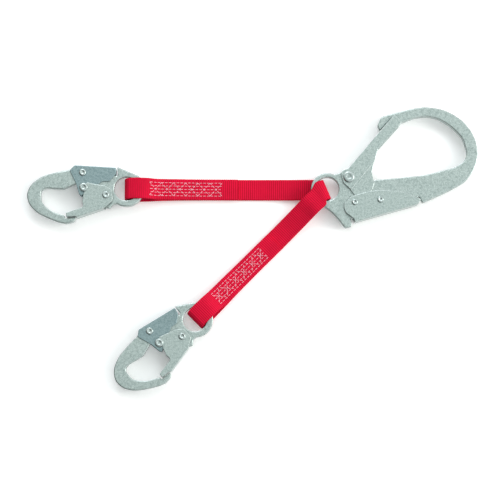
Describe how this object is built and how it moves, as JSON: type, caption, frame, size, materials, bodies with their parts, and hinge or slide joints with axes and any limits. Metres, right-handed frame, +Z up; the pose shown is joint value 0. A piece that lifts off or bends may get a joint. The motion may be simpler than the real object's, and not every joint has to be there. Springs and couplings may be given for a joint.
{
  "type": "web positioning lanyard",
  "caption": "Red webbing lanyard in a V: a large rebar hook where both legs meet and a locking snap hook on each leg's end, lying flat.",
  "frame": {"origin": "centre of the bounding box at the level of the surface that the lanyard lies on", "axes": "+Z up from that surface; +X along the long side, from the snap hooks to the rebar hook's bow"},
  "size_m": [0.5326, 0.3356, 0.021],
  "materials": {
    "zinc_plated_steel": "zinc plated, satin, fine grain",
    "plated_lever_steel": "zinc plated, slightly darker and bluer",
    "rivet_steel": "zinc plated, pressed heads",
    "spring_steel": "drawn wire",
    "red_webbing": "woven polyester with cross ribs"
  },
  "bodies": {
    "root": {"rebar_body": "zinc_plated_steel", "rebar_gate_rivet": "rivet_steel", "rebar_lock_rivet": "rivet_steel", "web_bight": "red_webbing"},
    "rebar_gate": {"rebar_gate": "zinc_plated_steel", "rebar_gate_spring": "spring_steel"},
    "rebar_lock": {"rebar_lock_lever": "zinc_plated_steel", "rebar_lock_pin": "rivet_steel", "rebar_lock_spring": "spring_steel"},
    "leg_a": {"web_leg_a": "red_webbing"},
    "leg_b": {"web_leg_b": "red_webbing"},
    "snap_a": {"snap_a_body": "zinc_plated_steel", "snap_a_gate_rivet": "rivet_steel", "snap_a_lock_rivet": "rivet_steel"},
    "snap_a_gate": {"snap_a_gate": "zinc_plated_steel", "snap_a_gate_spring": "spring_steel"},
    "snap_a_lock": {"snap_a_lock_lever": "plated_lever_steel", "snap_a_lock_pin": "rivet_steel", "snap_a_lock_spring": "spring_steel"},
    "snap_b": {"snap_b_body": "zinc_plated_steel", "snap_b_gate_rivet": "rivet_steel", "snap_b_lock_rivet": "rivet_steel"},
    "snap_b_gate": {"snap_b_gate": "zinc_plated_steel", "snap_b_gate_spring": "spring_steel"},
    "snap_b_lock": {"snap_b_lock_lever": "plated_lever_steel", "snap_b_lock_pin": "rivet_steel", "snap_b_lock_spring": "spring_steel"}
  },
  "joints": [
    {"name": "rebar_gate_pivot", "type": "hinge", "parent": "root", "child": "rebar_gate", "pos_m": [0.11332, 0.08374, 0.0105], "axis": [0, 0, 1], "range_deg": [-46, 0], "stiffness_Nm_per_rad": 0.2},
    {"name": "rebar_lock_pivot", "type": "hinge", "parent": "root", "child": "rebar_lock", "pos_m": [0.15039, 0.05655, 0.0105], "axis": [0, 0, 1], "range_deg": [0, 8], "stiffness_Nm_per_rad": 0.2},
    {"name": "leg_a_swing", "type": "hinge", "parent": "root", "child": "leg_a", "pos_m": [0.08783, 0.06992, 0.0105], "axis": [0, 0, 1], "range_deg": [-20, 8]},
    {"name": "leg_b_swing", "type": "hinge", "parent": "root", "child": "leg_b", "pos_m": [0.08783, 0.06992, 0.0105], "axis": [0, 0, 1], "range_deg": [-8, 20]},
    {"name": "snap_a_swivel", "type": "hinge", "parent": "leg_a", "child": "snap_a", "pos_m": [-0.14837, 0.07054, 0.0105], "axis": [0, 0, 1], "range_deg": [-15, 15]},
    {"name": "snap_a_gate_pivot", "type": "hinge", "parent": "snap_a", "child": "snap_a_gate", "pos_m": [-0.17329, 0.06226, 0.0105], "axis": [0, 0, 1], "range_deg": [-28, 0], "stiffness_Nm_per_rad": 0.1},
    {"name": "snap_a_lock_pivot", "type": "hinge", "parent": "snap_a", "child": "snap_a_lock", "pos_m": [-0.201, 0.08927, 0.0105], "axis": [0, 0, 1], "range_deg": [-10, 0], "stiffness_Nm_per_rad": 0.1},
    {"name": "snap_b_swivel", "type": "hinge", "parent": "leg_b", "child": "snap_b", "pos_m": [-0.067, -0.08383, 0.0105], "axis": [0, 0, 1], "range_deg": [-15, 15]},
    {"name": "snap_b_gate_pivot", "type": "hinge", "parent": "snap_b", "child": "snap_b_gate", "pos_m": [-0.0827, -0.10488, 0.0105], "axis": [0, 0, 1], "range_deg": [-28, 0], "stiffness_Nm_per_rad": 0.1},
    {"name": "snap_b_lock_pivot", "type": "hinge", "parent": "snap_b", "child": "snap_b_lock", "pos_m": [-0.12088, -0.09858, 0.0105], "axis": [0, 0, 1], "range_deg": [-10, 0], "stiffness_Nm_per_rad": 0.1}
  ],
  "couplings": [
    {"joint": "rebar_lock_pivot", "follows": "rebar_gate_pivot", "ratio": -0.17391},
    {"joint": "snap_a_lock_pivot", "follows": "snap_a_gate_pivot", "ratio": 0.35714},
    {"joint": "snap_b_lock_pivot", "follows": "snap_b_gate_pivot", "ratio": 0.35714}
  ]
}
